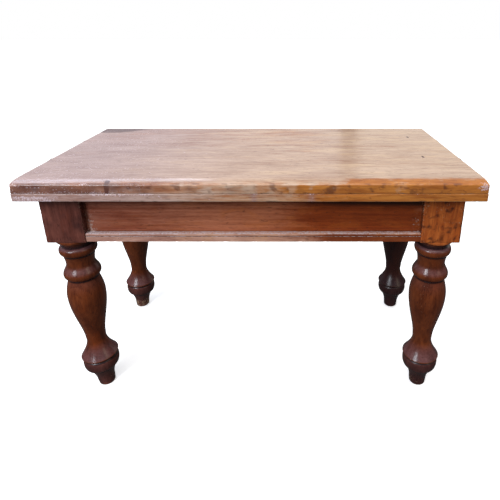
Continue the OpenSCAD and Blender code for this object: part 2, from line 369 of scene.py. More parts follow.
RINGS_AT_SCALE_1 = 3.18  # rings to the metre in a wave texture of scale 1
GRAIN_TURN = {"X": (0, 0, 0), "Y": (0, 0, math.pi / 2), "Z": (0, math.pi / 2, 0)}


def wood(
    name, axis, bare, coated, washed_and_sheen, dirt_and_shade, chalk_and_highlight, gloss, dull, shine,
    ring, figure, run, relief, edge, fine=70, mottled=0.4, spread=0.4, cloudy=0.3, stains=(),
):
    """Old varnished wood with its grain along axis. bare and coated are (light, dark, accent) colours
    of the wood without and with varnish, washed_and_sheen is the (light, dark) grey that both fade
    to, which on the legs and strips is also a painted cool sheen, dirt_and_shade fills the hollows
    and also paints shade and a dark reflection, and chalk_and_highlight is the colour of scuffs and
    of painted pale highlights. gloss and dull are the roughness with and without varnish and shine
    the strength of its reflections. ring is how many growth rings there are to the metre, figure how
    strongly they show, fine how many streaks to the metre, run how short they are along the grain,
    relief the depth of the unevenness, edge how pale the arrises are rubbed, mottled and spread how
    strong and how short the patches are, cloudy how strong the broad blotches are and stains where
    iron has stained the wood."""
    g = Graph(bpy.data.materials.new(name))
    place = g.node("ShaderNodeTexCoord").outputs["Object"]
    seed = g.attribute("seed")
    shift = g.node("ShaderNodeCombineXYZ", None, {0: seed, 1: g.times(seed, 0.37)})
    grain = g.mapping(g.vector("ADD", place, shift.outputs[0]), rotation=GRAIN_TURN[axis])
    pith = g.node("ShaderNodeCombineXYZ", None, {i: g.attribute("pith_" + c) for i, c in enumerate("xyz")})
    heart = g.mapping(g.vector("SUBTRACT", place, pith.outputs[0]), rotation=GRAIN_TURN[axis])

    # growth rings, and noises drawn out along the grain
    settings = {"wave_type": "RINGS", "rings_direction": "X", "wave_profile": "SAW"}
    inputs = {
        "Vector": g.mapping(heart, scale=(0.13, 1, 1)), "Scale": ring / RINGS_AT_SCALE_1,
        "Distortion": 5.0, "Detail": 2.0, "Detail Scale": 0.5, "Detail Roughness": 0.5,
    }
    rings = g.node("ShaderNodeTexWave", settings, inputs).outputs["Fac"]
    fibre = g.noise(g.mapping(grain, scale=(0.035, 1, 1)), 420, 3.0, 0.6)
    streak = g.noise(g.mapping(grain, scale=(run, 1, 1)), fine, 5.0, 0.62, 0.2)
    blotch = g.noise(g.mapping(grain, scale=(0.35, 1, 1)), 11, 4.0, 0.6)
    patch = g.noise(g.mapping(grain, scale=(spread, 1, 1)), 34, 6.0, 0.68, 0.6)
    elsewhere = g.vector("ADD", grain, (3.1, 1.7, 0.9))
    hue = g.noise(g.mapping(elsewhere, scale=(spread, 1, 1)), 22, 5.0, 0.65, 0.4)
    speck = g.noise(g.mapping(grain, scale=(0.4, 1, 1)), 260, 2.0, 0.5)

    # light and dark lines, and where the hue turns to the accent
    lines = g.times(g.math("SUBTRACT", rings, 0.5), figure)
    for part, low, high, weight in (
        (streak, 0.32, 0.68, 0.4), (fibre, 0.3, 0.7, 0.25),
        (blotch, 0.35, 0.65, cloudy), (patch, 0.36, 0.64, mottled),
    ):
        lines = g.plus(lines, g.times(g.between(part, low, high, -0.5, 0.5), weight))
    lines = g.plus(lines, 0.5, clamp=True)
    tinted = g.times(g.between(hue, 0.48, 0.66), 0.6)

    # how much varnish is left, and the colours of bare and coated wood
    left = g.sway(g.sway(g.sway(g.attribute("varnish"), streak, 0.8), blotch, 0.7), speck, 0.25)
    left = g.between(left, 0.2, 0.8)
    # the washed grey that bleached wood fades to, and on the legs and strips a painted cool sheen
    fade = g.attribute("fade")
    grey = g.blend(lines, washed_and_sheen[0], washed_and_sheen[1])
    raw = g.blend(tinted, g.blend(lines, bare[0], bare[1]), bare[2])
    coat = g.blend(tinted, g.blend(lines, coated[0], coated[1]), coated[2])
    raw = g.blend(g.times(fade, 0.8), raw, grey)
    coat = g.blend(g.times(fade, 0.45), coat, grey)
    colour = g.blend(left, raw, coat)

    # dirt in the pores, in flecks and at the stains, and where grime gathers, together with painted shade
    # and a painted dark reflection
    pores = g.between(g.noise(g.mapping(grain, scale=(0.09, 1, 1)), 520, 1.0, 0.4), 0.30, 0.40, 1.0, 0.0)
    colour = g.blend(g.times(pores, 0.35), colour, dirt_and_shade)
    fleck = g.between(g.noise(g.mapping(elsewhere, scale=(0.4, 1, 1)), 150, 2.0, 0.6), 0.26, 0.34, 1.0, 0.0)
    colour = g.blend(g.times(fleck, 0.5), colour, dirt_and_shade)
    soil_and_shade = g.times(g.between(g.sway(g.attribute("grime"), blotch, 0.5), 0.15, 0.85), 0.85)
    colour = g.blend(soil_and_shade, colour, dirt_and_shade)
    for spot in stains:
        away = g.mapping(g.vector("SUBTRACT", place, (spot.x, spot.y, 0)), scale=(1, 0.34, 0))
        reach = g.node("ShaderNodeVectorMath", {"operation": "LENGTH"}, {0: away}).outputs["Value"]
        colour = g.blend(g.between(reach, 2.5 * MM, 5 * MM, 0.9, 0.0), colour, dirt_and_shade)

    # pale flakes where it is scuffed, which also paint pale highlights along a few ledges and seams, and
    # rubbed arrises
    scuff = g.attribute("scuff")
    chip = g.plus(g.times(g.noise(place, 190, 4.0, 0.7, 0.6), 0.62), g.times(streak, 0.30))
    flake_and_highlight = g.between(g.plus(chip, g.times(scuff, 0.34)), 0.62, 0.72)
    flake_and_highlight = g.times(flake_and_highlight, g.between(scuff, 0.02, 0.12))
    colour = g.blend(g.times(flake_and_highlight, 0.7), colour, chalk_and_highlight)
    bend = g.node("ShaderNodeNewGeometry").outputs["Pointiness"]
    rub = g.times(g.between(bend, 0.51, 0.60), g.between(patch, 0.35, 0.6, 0.3, 1.0))
    colour = g.blend(g.times(rub, edge), colour, chalk_and_highlight)

    rough = g.plus(g.between(left, 0.0, 1.0, dull, gloss), g.times(flake_and_highlight, 0.2))
    rough = g.plus(g.sway(rough, streak, 0.14), g.times(soil_and_shade, 0.12), clamp=True)

    # the relief of fibres, rings, scratches, pores and flakes
    askew = g.mapping(place, rotation=(0.3, 0.2, 0.5))
    scratch = g.between(g.noise(g.mapping(askew, scale=(0.06, 1, 0.4)), 230, 2.0, 0.5), 0.60, 0.66)
    height = g.times(fibre, 0.35)
    for part, weight in (
        (rings, 0.25), (scratch, -0.3), (pores, -0.35), (flake_and_highlight, -0.5), (blotch, 0.8),
    ):
        height = g.plus(height, g.times(part, weight))
    bump = g.node("ShaderNodeBump", None, {"Height": height, "Strength": 0.35, "Distance": relief})

    shader = g.node("ShaderNodeBsdfPrincipled")
    g.feed(shader.inputs["Base Color"], colour)
    g.feed(shader.inputs["Roughness"], rough)
    g.feed(shader.inputs["Normal"], bump.outputs[0])
    shader.inputs["Specular IOR Level"].default_value = shine
    return g.finish(shader)


def nail_spots():
    """Where the two old nails in the top stand, read from their CAD node."""
    points = [v.co.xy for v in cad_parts["top_nails"].data.vertices]
    spots = []
    for high in (False, True):
        cluster = [p for p in points if (p.y > 0) == high]
        spots.append(sum(cluster, Vector((0, 0))) / len(cluster))
    return spots


NAIL_SPOTS = nail_spots()


# Each wood of the table: the axes that its grain runs along, and its look.
WOODS = {
    "worn_top": ("XY", dict(
        bare=((0.61, 0.43, 0.31), (0.36, 0.215, 0.14), (0.64, 0.44, 0.28)),
        coated=((0.58, 0.225, 0.046), (0.25, 0.062, 0.013), (0.50, 0.165, 0.028)),
        washed_and_sheen=((0.46, 0.325, 0.325), (0.225, 0.140, 0.140)),
        dirt_and_shade=(0.065, 0.020, 0.018), chalk_and_highlight=(0.70, 0.57, 0.62),
        gloss=0.18, dull=0.20, shine=0.45, ring=110, figure=0.1, run=0.09, relief=0.22 * MM, edge=0.12,
        fine=120, mottled=0.26, spread=0.22, cloudy=0.26, stains=NAIL_SPOTS,
    )),
    "frieze": ("XY", dict(
        bare=((0.48, 0.16, 0.075), (0.29, 0.085, 0.038), (0.44, 0.13, 0.04)),
        coated=((0.28, 0.053, 0.011), (0.165, 0.028, 0.007), (0.30, 0.068, 0.013)),
        washed_and_sheen=((0.27, 0.135, 0.12), (0.16, 0.065, 0.055)),
        dirt_and_shade=(0.018, 0.008, 0.006), chalk_and_highlight=(0.50, 0.36, 0.31),
        gloss=0.28, dull=0.45, shine=0.25, ring=170, figure=0.35, run=0.045, relief=0.8 * MM, edge=0.1,
        fine=130, mottled=0.25,
    )),
    "strip": ("XY", dict(
        bare=((0.68, 0.38, 0.26), (0.44, 0.20, 0.125), (0.60, 0.29, 0.12)),
        coated=((0.26, 0.060, 0.018), (0.16, 0.032, 0.010), (0.28, 0.075, 0.02)),
        washed_and_sheen=((0.50, 0.33, 0.31), (0.30, 0.16, 0.15)),
        dirt_and_shade=(0.035, 0.014, 0.010), chalk_and_highlight=(0.64, 0.58, 0.61),
        gloss=0.28, dull=0.45, shine=0.3, ring=170, figure=0.2, run=0.2, relief=0.6 * MM, edge=0.15,
    )),
    "turned_leg": ("Z", dict(
        bare=((0.54, 0.145, 0.030), (0.27, 0.050, 0.010), (0.46, 0.095, 0.016)),
        coated=((0.185, 0.045, 0.014), (0.085, 0.018, 0.006), (0.17, 0.034, 0.008)),
        washed_and_sheen=((0.17, 0.128, 0.178), (0.075, 0.050, 0.070)),
        dirt_and_shade=(0.012, 0.006, 0.008), chalk_and_highlight=(0.48, 0.31, 0.20),
        gloss=0.17, dull=0.34, shine=0.3, ring=160, figure=0.18, run=0.1, relief=0.8 * MM, edge=0.12,
        mottled=0.5,
    )),
    "bare_pine": ("XY", dict(
        bare=((0.50, 0.33, 0.19), (0.33, 0.19, 0.09), (0.46, 0.28, 0.13)),
        coated=((0.34, 0.19, 0.09), (0.20, 0.10, 0.045), (0.30, 0.15, 0.06)),
        washed_and_sheen=((0.40, 0.33, 0.26), (0.28, 0.21, 0.15)),
        dirt_and_shade=(0.06, 0.035, 0.02), chalk_and_highlight=(0.6, 0.5, 0.4),
        gloss=0.6, dull=0.75, shine=0.3, ring=140, figure=0.5, run=0.07, relief=0.9 * MM, edge=0.4,
    )),
}


def dark_iron():
    """Screws, brads and nails: dull grey iron with patches of rust."""
    g = Graph(bpy.data.materials.new("dull_iron"))
    place = g.node("ShaderNodeTexCoord").outputs["Object"]
    rust = g.noise(place, 420, 4.0, 0.6)
    colour = g.blend(g.between(rust, 0.45, 0.62), (0.07, 0.062, 0.056), (0.15, 0.065, 0.03))
    bump = g.node("ShaderNodeBump", None, {"Height": rust, "Strength": 0.4, "Distance": 0.3 * MM})
    shader = g.node("ShaderNodeBsdfPrincipled", None, {"Base Color": colour, "Metallic": 0.85})
    g.feed(shader.inputs["Roughness"], g.between(rust, 0.4, 0.65, 0.42, 0.7))
    g.feed(shader.inputs["Normal"], bump.outputs[0])
    return g.finish(shader)


# ------ where things go
def setter(side):
    """place(along, depth, z) for one side of the table, where depth is measured in from the top's
    edge and along runs anticlockwise round the table as seen from above."""
    return {
        "front": lambda s, u, v: (s, u - HALF_D, v),
        "back": lambda s, u, v: (-s, HALF_D - u, v),
        "right": lambda s, u, v: (HALF_W - u, s, v),
        "left": lambda s, u, v: (u - HALF_W, -s, v),
    }[side]


def grain_axis(side):
    return "X" if side in ("front", "back") else "Y"


def worn_left(x):
    """1 at the bleached left end of the table, falling to 0 towards the right."""
    return 1 - ramp(-0.50, 0.18, x)


# ------ the top
ROLL_W, ROLL_DROP, ARRIS_R = 42 * MM, 7 * MM, 5 * MM
ROLL_LEAN = 2 * math.atan(ROLL_DROP / ROLL_W)
JOINT_R = 0.5 * MM


def joint_side(u, inward):
    """The grooved edge of a board at depth u. inward is +1 or -1, towards the board's own wood."""
    deep = u + inward * TONGUE_REACH
    run = [
        (u, BOARD_Z, JOINT_R, 8 * MM),
        (u, TONGUE_LOW.z, 0, 6 * MM),
        (deep, TONGUE_LOW.z, 0, 6 * MM),
        (deep, TONGUE_HIGH.z, 0, 6 * MM),
        (u, TONGUE_HIGH.z, 0, 8 * MM),
        (u, TABLE_H, JOINT_R, 9 * MM),
    ]
    return run if inward < 0 else run[::-1]


def edge_board_outline():
    """An outer board: rolled long edge at depth 0, grooved joint at the board's full width."""
    knee = ROLL_DROP / math.tan(ROLL_LEAN)
    slope = ROLL_DROP / math.sin(ROLL_LEAN)
    spare = slope - ARRIS_R * math.tan(math.pi / 4 - ROLL_LEAN / 2)
    roll_r = spare / math.tan(ROLL_LEAN / 2)
    return outline([
        (0, BOARD_Z, 1.2 * MM, 9 * MM, True),
        *joint_side(BOARD_D, -1),
        (knee, TABLE_H, roll_r, 2.5 * MM),
        (0, TABLE_H - ROLL_DROP, ARRIS_R, 2.5 * MM, True),
    ])


def middle_board_outline():
    return outline([*joint_side(HALF_D + BOARD_D / 2, -1), *joint_side(HALF_D - BOARD_D / 2, 1)])


def top_varnish(co, normal, rubbed):
    """The flat has lost most of its varnish. The rolled edge keeps it, and more towards the right."""
    kept = (6 + 17 * ramp(ROLL_COAT_X, ROLL_COAT_X + 0.05, co.x) + 4 * mottle(co, 28 * MM, 9)) * MM
    if co.y > 0:
        kept = 6 * MM
    on_roll = ramp(kept + 17 * MM, kept - 12 * MM, HALF_D - abs(co.y))
    on_roll = max(on_roll, 0.6 * ramp(6 * MM, 3 * MM, HALF_W - abs(co.x)))
    on_flat = 0.16 + 0.05 * ramp(-0.1, 0.5, co.x) + 0.2 * ramp(-0.14, 0.2, co.y) * ramp(0.3, 0.1, co.x)
    turn = FACE_COAT_X if normal.z < 0.4 else ROLL_COAT_X
    on_edge = 0.74 - 0.18 * ramp(-0.25, -0.05, co.x) + 0.44 * ramp(turn, turn + 0.09, co.x)
    on_edge -= 0.30 * ramp(0.1, 0.6, mottle(co, 32 * MM, 11, 4))
    return (on_roll * on_edge + (1 - on_roll) * on_flat) * (1 - 0.4 * rubbed * worn_left(co.x))


def top_grime(co, normal, rubbed):
    """Dirt at the saw mark and in patches on the front edge, and at the ends. Over the back left corner
    a painted dark reflection."""
    mark = 0.0
    if co.y < -HALF_D + 16 * MM:
        mark = 1.6 * peak(co.x - SAW_MARK_X, SAW_MARK_R)
    roll = 0.20 + 0.08 * worn_left(co.x) if normal.y < -0.15 and co.x < 0.2 else 0.0
    if co.y < -HALF_D + 7 * MM:
        patches = 0.62 * ramp(0.0, 0.6, mottle(co, 22 * MM, 6, 4))
        mark = max(mark, patches, 0.16 + 0.44 * worn_left(co.x) + 0.25 * mottle(co, 45 * MM, 2))
    # painted dark reflection over the back left corner of the top
    corner = ramp(0, 40 * MM, co.y - 0.20 - 0.1 * ramp(-0.56, -0.33, co.x)) * ramp(-0.28, -0.50, co.x)
    ends = 0.35 * ramp(HALF_W - 30 * MM, HALF_W, abs(co.x)) * (1 if normal.z < 0.7 else 0.3)
    return max(mark, 0.85 * corner, ends, roll, 0.08) - 0.2 * rubbed


def top_scuff(co, rubbed):
    """Pale chips, along the front arris to the left and at the front right corner, and a painted pale
    highlight along the seam below the arris to the left."""
    edge = ramp(-HALF_D + 0.03, -HALF_D, co.y)
    corner = Vector((HALF_W - 13 * MM, -HALF_D, TABLE_H - 12 * MM))
    broken = peak((co - corner).length, 15 * MM)
    arris = rubbed * edge * ramp(0.25, -0.3, co.x)
    # painted highlight along the seam between the board and the lining
    seam = ramp(8 * MM, 2 * MM, co.z - BOARD_Z) * edge * ramp(0.24, 0.18, co.x)
    return 0.12 + 0.20 * worn_left(co.x) + 0.06 * arris + 0.6 * broken + 0.06 * seam


def make_board(name, side, shape, seed):
    """One of the three top boards, with both ends rounded over."""
    along = stretch(HALF_W, BOARD_STEP, ARRIS_R)
    joints = (HALF_D - BOARD_D / 2, HALF_D + BOARD_D / 2)
    piece, reach = loft(name + "_worn", shape, along, setter(side), 3 * MM, ARRIS_R, joints=joints)
    rubbed = weather(piece, reach, seed, chip=1.1 * MM, arris=3.2 * MM, often=0.22)
    middle = (TOP_LOW.y + BOARD_D / 2) * {"board_front": 1, "board_middle": 0, "board_back": -1}[name]
    dress(
        piece, MATERIALS["worn_top_X"], "top_wood", seed, (0, middle, BOARD_Z - 70 * MM),
        varnish=lambda co, n, i: top_varnish(co, n, rubbed[i]) if n.z > -0.5 else 0.1,
        grime=lambda co, n, i: top_grime(co, n, rubbed[i]),
        scuff=lambda co, n, i: top_scuff(co, rubbed[i]),
        fade=lambda co, n, i: worn_left(co.x) ** 1.5,
    )
    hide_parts(name)
    return piece


def punch_nail_holes(boards):
    """Opens the pockets over the two old nails, whose heads lie below the surface."""
    radius, reach, sides = 2.6 * MM, 4 * MM, 20
    for n, middle in enumerate(NAIL_SPOTS):
        points = [
            (middle.x + radius * math.cos(a), middle.y + radius * math.sin(a), z)
            for z in (TABLE_H - reach, TABLE_H + reach)
            for a in np.linspace(0, 2 * math.pi, sides, endpoint=False)
        ]
        cutter = new_mesh(f"nail_cutter_{n}", points, tube_faces(sides, 2))
        for board in boards:
            depths = [v.co.y for v in board.data.vertices]
            if min(depths) < middle.y < max(depths):
                cut = board.modifiers.new("nail_hole", "BOOLEAN")
                cut.operation, cut.object, cut.solver = "DIFFERENCE", cutter, "EXACT"
                apply_modifiers(board)
                shade(board)
        bpy.data.objects.remove(cutter)


def apply_modifiers(piece):
    """Makes what the modifiers give into the piece's own mesh. Painted attributes stay."""
    graph = bpy.context.evaluated_depsgraph_get()
    graph.update()
    made = bpy.data.meshes.new_from_object(
        piece.evaluated_get(graph), preserve_all_data_layers=True, depsgraph=graph
    )
    piece.modifiers.clear()
    piece.data = made


# ------ the linings
def make_lining(side, seed):
    """A mitred lining under the edge of the top. The front one has lost a long splinter."""
    shape = outline([
        (0, LINING_Z, 2.2 * MM, 10 * MM, True),
        (LINING_W, LINING_Z, 0.8 * MM, 8 * MM),
        (LINING_W, BOARD_Z, 0.3 * MM, 14 * MM),
        (0, BOARD_Z, 1.6 * MM, 2.5 * MM, True),
    ])
    half = HALF_W if grain_axis(side) == "X" else HALF_D
    along = stretch(half, 5 * MM, 0.8 * MM)
    place = setter(side)
    name = "lining_" + side
    piece, reach = loft(name + "_worn", shape, along, place, 0.4 * MM, mitre=lambda u: u)
    rubbed = weather(piece, reach, seed, chip=1.0 * MM, arris=2.6 * MM, often=0.2)
    if side == "front":
        for vertex in piece.data.vertices:
            x, up = vertex.co.x, vertex.co.z - BOARD_Z
            share = ramp(*SPLINTER_LEFT, x) * ramp(*SPLINTER_RIGHT, x)
            reach_down = 7 * MM * share
            if vertex.co.y < -HALF_D + 4 * MM and -up < reach_down:
                vertex.co.y += 2.2 * MM * share * (1 + up / max(reach_down, MM))
        piece.data.update()
    dress(
        piece, MATERIALS["worn_top_" + grain_axis(side)], "edge_wood", seed,
        place(0, LINING_W * 0.4, LINING_Z - 90 * MM),
        varnish=lambda co, n, i: lining_varnish(co, n, rubbed[i]),
        grime=lambda co, n, i: 0.15 + 0.25 * ramp(BOARD_Z - 3 * MM, BOARD_Z, co.z),
        scuff=lambda co, n, i: lining_scuff(co, rubbed[i]),
        fade=lambda co, n, i: max(worn_left(co.x), lining_drip(co)),
    )
    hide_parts(name)


def lining_varnish(co, normal, rubbed):
    """Bare underneath. The face has kept more towards the right."""
    if normal.z < -0.6:
        return 0.15
    return (0.38 + 0.58 * ramp(-0.03, 0.35, co.x)) * (1 - 0.4 * rubbed)


def lining_scuff(co, rubbed):
    """Scuffs gather at the left corner, in patches along the left half, and on the lower arris, and
    painted pale highlights streak the upper face towards the left. Two pale drips have run down the face."""
    low = ramp(BOARD_Z - 4 * MM, BOARD_Z - 10 * MM, co.z)
    left = low * ramp(-0.46, -0.52, co.x)
    # painted highlights streaking the upper part of the face
    streaks = (1 - low) * ramp(-0.46, -0.42, co.x) * ramp(-0.24, -0.30, co.x)
    patch = 0.25 * ramp(0.1, 0.5, mottle(co, 60 * MM, 4)) * ramp(0.2, 0.1, co.x)
    return 0.12 + 0.5 * left + 0.34 * streaks + patch + 0.06 * rubbed + 0.22 * lining_drip(co)


def lining_drip(co):
    """1 in the middle of a pale drip, fading out to 0 beside it."""
    return sum(peak(co.x - x, DRIP_R) for x in DRIPS_X)


# ------ the legs
POMMEL_R = 15 * MM
# How far the foot of a leg has moved along X as the joints worked loose. The block stays in place.
LEAN = {"leg_front_left": 16 * MM, "leg_back_left": -5 * MM}


def leg_profile(node, centre):
    """(height, radius) of the turned part, read from the CAD leg itself, and its block's height."""
    found = {}
    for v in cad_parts[node].data.vertices:
        z = round(v.co.z, 4)
        found[z] = max(found.get(z, 0.0), (v.co.xy - centre).length)
    shoulder = min(z for z, r in found.items() if r > BLOCK * 1.3)
    turned = [(z, r) for z, r in sorted(found.items()) if z < shoulder - POMMEL_R - MM]
    return turned, shoulder


def square_reach(angle, half, corner):
    """Distance from the middle of a square with rounded corners to its side at this angle."""
    a = math.radians(abs((math.degrees(angle) + 45) % 90 - 45))
    if half * math.tan(a) <= half - corner:
        return half / math.cos(a)
    inner = (half - corner) * (math.cos(a) + math.sin(a))
    return inner + math.sqrt(max(inner**2 - 2 * (half - corner) ** 2 + corner**2, 0))


# The angles round a leg, closest together at the corners of its block.
QUARTER = [0, 4, 8, 12, 16, 20, 24, 28, 32, 35.5, 38.5, 41, 42.5, 43.4, 44, 44.5]
LEG_ANGLES = [
    math.radians(q * 90 + a)
    for q in range(4)
    for a in QUARTER + [45] + [90 - b for b in reversed(QUARTER[1:])]
]


def make_leg(name, seed):
    """One leg: a turned shaft under a square block, as a single closed mesh of rings."""
    low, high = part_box(name)
    centre = Vector(((low.x + high.x) / 2, (low.y + high.y) / 2))
    turned, shoulder = leg_profile(name, centre)
    pin = turned[-1][1]
    groove = pin + 2.5 * MM

    def square(a, inset):
        return square_reach(a, BLOCK - inset, 2 * MM)

    rings = [(z, lambda a, r=r: r) for z, r in turned]
    rings.append((shoulder - POMMEL_R, lambda a: pin))
    for degrees in range(0, 90, 10):
        lean = math.radians(degrees)
        z = shoulder - POMMEL_R * math.cos(lean)
        r = groove + POMMEL_R * math.sin(lean)
        rings.append((z, lambda a, r=r: min(r, square(a, 0.8 * MM))))
    rings += [
        (shoulder, lambda a: min(groove + POMMEL_R, square(a, 0.8 * MM))),
        (shoulder, lambda a: square(a, 0.8 * MM)),
        (shoulder + 0.8 * MM, lambda a: square(a, 0.15 * MM)),
    ]
    rings += [(z, lambda a: square(a, 0)) for z in np.linspace(shoulder + 2.5 * MM, LINING_Z, 30)]
    points = [
        Vector((centre.x + r * math.cos(a), centre.y + r * math.sin(a), z))
        for z, radius in rings for a in LEG_ANGLES for r in [radius(a)]
    ]
    points = [lean_over(p, centre, shoulder, LEAN.get(name, 0.0)) for p in points]
    piece = new_mesh(name + "_worn", points, tube_faces(len(LEG_ANGLES), len(rings)))
    merge_doubles(piece)
    outward(piece)
    reach = [leg_reach(v.co.xy - centre, v.co.z, shoulder) for v in piece.data.vertices]
    rubbed = weather(piece, reach, seed, chip=1.5 * MM, arris=3.0 * MM, often=0.25, wave=0.3 * MM)
    dress(
        piece, MATERIALS["turned_leg"], "leg_wood", seed, (centre.x + 4 * MM, centre.y + 40 * MM, 0),
        varnish=lambda co, nrm, i: leg_varnish(co, nrm, rubbed[i], name, shoulder),
        grime=lambda co, nrm, i: leg_grime(co, centre, turned, shoulder, name),
        scuff=lambda co, nrm, i: leg_scuff(co, centre, rubbed[i], name, shoulder),
        fade=lambda co, nrm, i: leg_fade(co, nrm, centre, shoulder),
    )
    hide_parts(name)


def lean_over(point, centre, shoulder, lean):
    """Bends the turned part towards +X by lean at the floor. Its rings tip with it and its foot stays
    flat."""
    if point.z < shoulder and lean:
        down = 1 - point.z / shoulder
        tip = 3 * lean * down**2 / shoulder * ramp(0, 40 * MM, point.z) * ramp(0, 0.2, down)
        point.z += (point.x - centre.x) * tip
        point.x += lean * down**3
    return point


def leg_reach(across, z, shoulder):
    """Distance to the nearest arris of the block or the edge of the foot, which take the wear."""
    if z < FOOT_RIM:
        return abs(z - 2 * MM) + 1.5 * MM
    if z < shoulder:
        return 1.0
    return min(BLOCK - min(abs(across.x), abs(across.y)), z - shoulder)


def leg_fade(co, normal, centre, shoulder):
    """Dust and a painted cool sheen: the feet and whatever faces up turn towards the bluish washed colour,
    as if lit from above, and the left blocks are paler than the right, a painted cool sheen from the
    left.
    """
    if co.z > shoulder:
        # painted cool sheen on the left blocks
        return 0.4 * worn_left(centre.x)
    # painted cool sheen on up-facing slopes and the rings of the feet, over dust
    return max(ramp(0.12, 0.75, normal.z), 0.5 * ramp(116 * MM, 104 * MM, co.z))


def leg_varnish(co, normal, rubbed, name, shoulder):
    """The front right block has lost most of its varnish. Elsewhere arrises and feet have lost some."""
    left = 0.98 - 0.35 * rubbed
    if name == "leg_front_right" and co.z > shoulder - 8 * MM and normal.y < -0.3:
        left = 0.24 - 0.14 * ramp(SCRATCH_Z - 0.01, SCRATCH_Z + 0.01, co.z)
        left += 0.35 * ramp(LINING_Z - 30 * MM, LINING_Z, co.z) + 0.45 * mottle(co, 20 * MM, 5, 3)
    if co.z < FOOT_RIM:
        left -= 0.35
    return left


def leg_grime(co, centre, turned, shoulder, name):
    """Dirt sits where the turning dips below what lies just above and below it, and in blotches on
    the front right block. Painted shade darkens the blocks under the lining and the back legs all
    over. The front right block is also darker along its right arris, and the legs towards their feet."""
    if co.z > shoulder:
        # painted shade under the lining
        under = 0.65 * ramp(LINING_Z - 26 * MM, LINING_Z - 4 * MM, co.z)
        if name != "leg_front_right":
            return max(under, 0.32 + 0.25 * mottle(co, 30 * MM, 12))
        arris = 0.6 * ramp(BLOCK - 7 * MM, BLOCK - 1 * MM, co.x - centre.x)
        return max(under, arris, 0.66 * ramp(-0.05, 0.6, mottle(co, 16 * MM, 3, 3)))
    zs, rs = zip(*turned)
    r = np.interp(co.z, zs, rs)
    around = (np.interp(co.z - 5 * MM, zs, rs) + np.interp(co.z + 5 * MM, zs, rs)) / 2
    foot = ramp(114 * MM, 98 * MM, co.z) * (0.58 if centre.x > 0 else 0.48)
    # painted shade over the back legs, which stand under the table out of the light; the front legs get
    # darker towards the floor
    dull = {"leg_back_right": 0.72, "leg_back_left": 0.25}.get(name, 0.3 * ramp(180 * MM, 140 * MM, co.z))
    return min(0.95, max(dull, foot, (around - r) / (1.6 * MM)))


def leg_scuff(co, centre, rubbed, name, shoulder):
    """Fine speckle, more on the front right leg, whose block is scuffed beside the frieze and crossed
    by one pale scratch. The back left foot is the most scuffed."""
    right = name == "leg_front_right"
    speckle = 0.14 if right else 0.09
    if co.z <= shoulder:
        worst = 0.5 if name == "leg_back_left" else 0.12
        return speckle + worst * ramp(60 * MM, 25 * MM, co.z)
    if not right:
        inner = ramp(16 * MM, 3 * MM, abs(abs(co.x) - abs(centre.x) + BLOCK))
        return speckle + 0.2 * rubbed + 0.18 * inner
    beside = 0.16 * ramp(14 * MM, 4 * MM, co.x - centre.x + BLOCK)
    scratch = 0.55 * peak(co.z - SCRATCH_Z, SCRATCH_R) * ramp(0.50, 0.52, co.x)
    pale = 0.30 * ramp(SCRATCH_Z - 0.005, SCRATCH_Z + 0.015, co.z) * ramp(-0.1, 0.4, mottle(co, 22 * MM, 8))
    return speckle + 0.2 * rubbed + max(beside, scratch, pale)


# ------ frieze and strips
def run_of(kind, side):
    """Half the length of a side's frieze or strip between the blocks, and how deep its outer and
    inner faces lie."""
    low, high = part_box(kind + "_" + side)
    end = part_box("strip_" + side)[1]
    if grain_axis(side) == "X":
        face = HALF_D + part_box(kind + "_front")[0].y
        return end.x, face, face + (high.y - low.y)
    face = HALF_W + low.x if side == "left" else HALF_W - high.x
    return end.y, face, face + (high.x - low.x)


def make_frieze(side, seed):
    """A frieze board between two leg blocks, with the plough groove along its inside."""
    name = "frieze_" + side
    low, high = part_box(name)
    half, face, back = run_of("frieze", side)
    groove_top, groove_h, groove_d = high.z - 11 * MM, 10 * MM, 10 * MM
    shape = outline([
        (face, low.z, 0.8 * MM, 7 * MM),
        (back, low.z, 1.5 * MM, 9 * MM, True),
        (back, groove_top - groove_h, 0.4 * MM, 6 * MM),
        (back - groove_d, groove_top - groove_h, 0, 6 * MM),
        (back - groove_d, groove_top, 0, 6 * MM),
        (back, groove_top, 0.4 * MM, 6 * MM),
        (back, high.z, 0.6 * MM, 8 * MM),
        (face, high.z, 0.6 * MM, 5 * MM),
    ])
    along = list(np.linspace(-half, half, round(2 * half / (7 * MM))))
    piece, reach = loft(name + "_worn", shape, along, setter(side))
    weather(piece, reach, seed, chip=0.5 * MM, wave=0.35 * MM)
    outside = {"front": (0, -1), "back": (0, 1), "left": (-1, 0), "right": (1, 0)}[side]

    def varnish(co, normal, i):
        shows = normal.x * outside[0] + normal.y * outside[1] > 0.3
        return frieze_varnish(co, side, half, seed) if shows else 0.3

    dress(
        piece, MATERIALS["frieze_" + grain_axis(side)], "frieze_wood", seed,
        setter(side)(0, back + 30 * MM, (low.z + high.z) / 2),
        varnish=varnish,
        grime=lambda co, n, i: frieze_grime(co, side, half, high.z),
        scuff=lambda co, n, i: frieze_scuff(co, side, half),
        fade=lambda co, n, i: 0.75 * worn_left(co.x + 0.12),
    )
    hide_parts(name)


def frieze_end(co, side, half):
    """Distance from the nearer end of this side's frieze."""
    return half - abs(co.x if grain_axis(side) == "X" else co.y)


def frieze_varnish(co, side, half, seed):
    """Rubbed thin along the middle of the front, and in patches at the ends."""
    kept = 0.90
    if side == "front":
        kept = 0.62 - 0.26 * ramp(-0.40, -0.15, co.x) + 0.60 * ramp(0.02, 0.24, co.x)
    worn = ramp(45 * MM, 5 * MM, frieze_end(co, side, half)) * ramp(-0.3, 0.3, mottle(co, 25 * MM, seed))
    return kept - 0.4 * worn


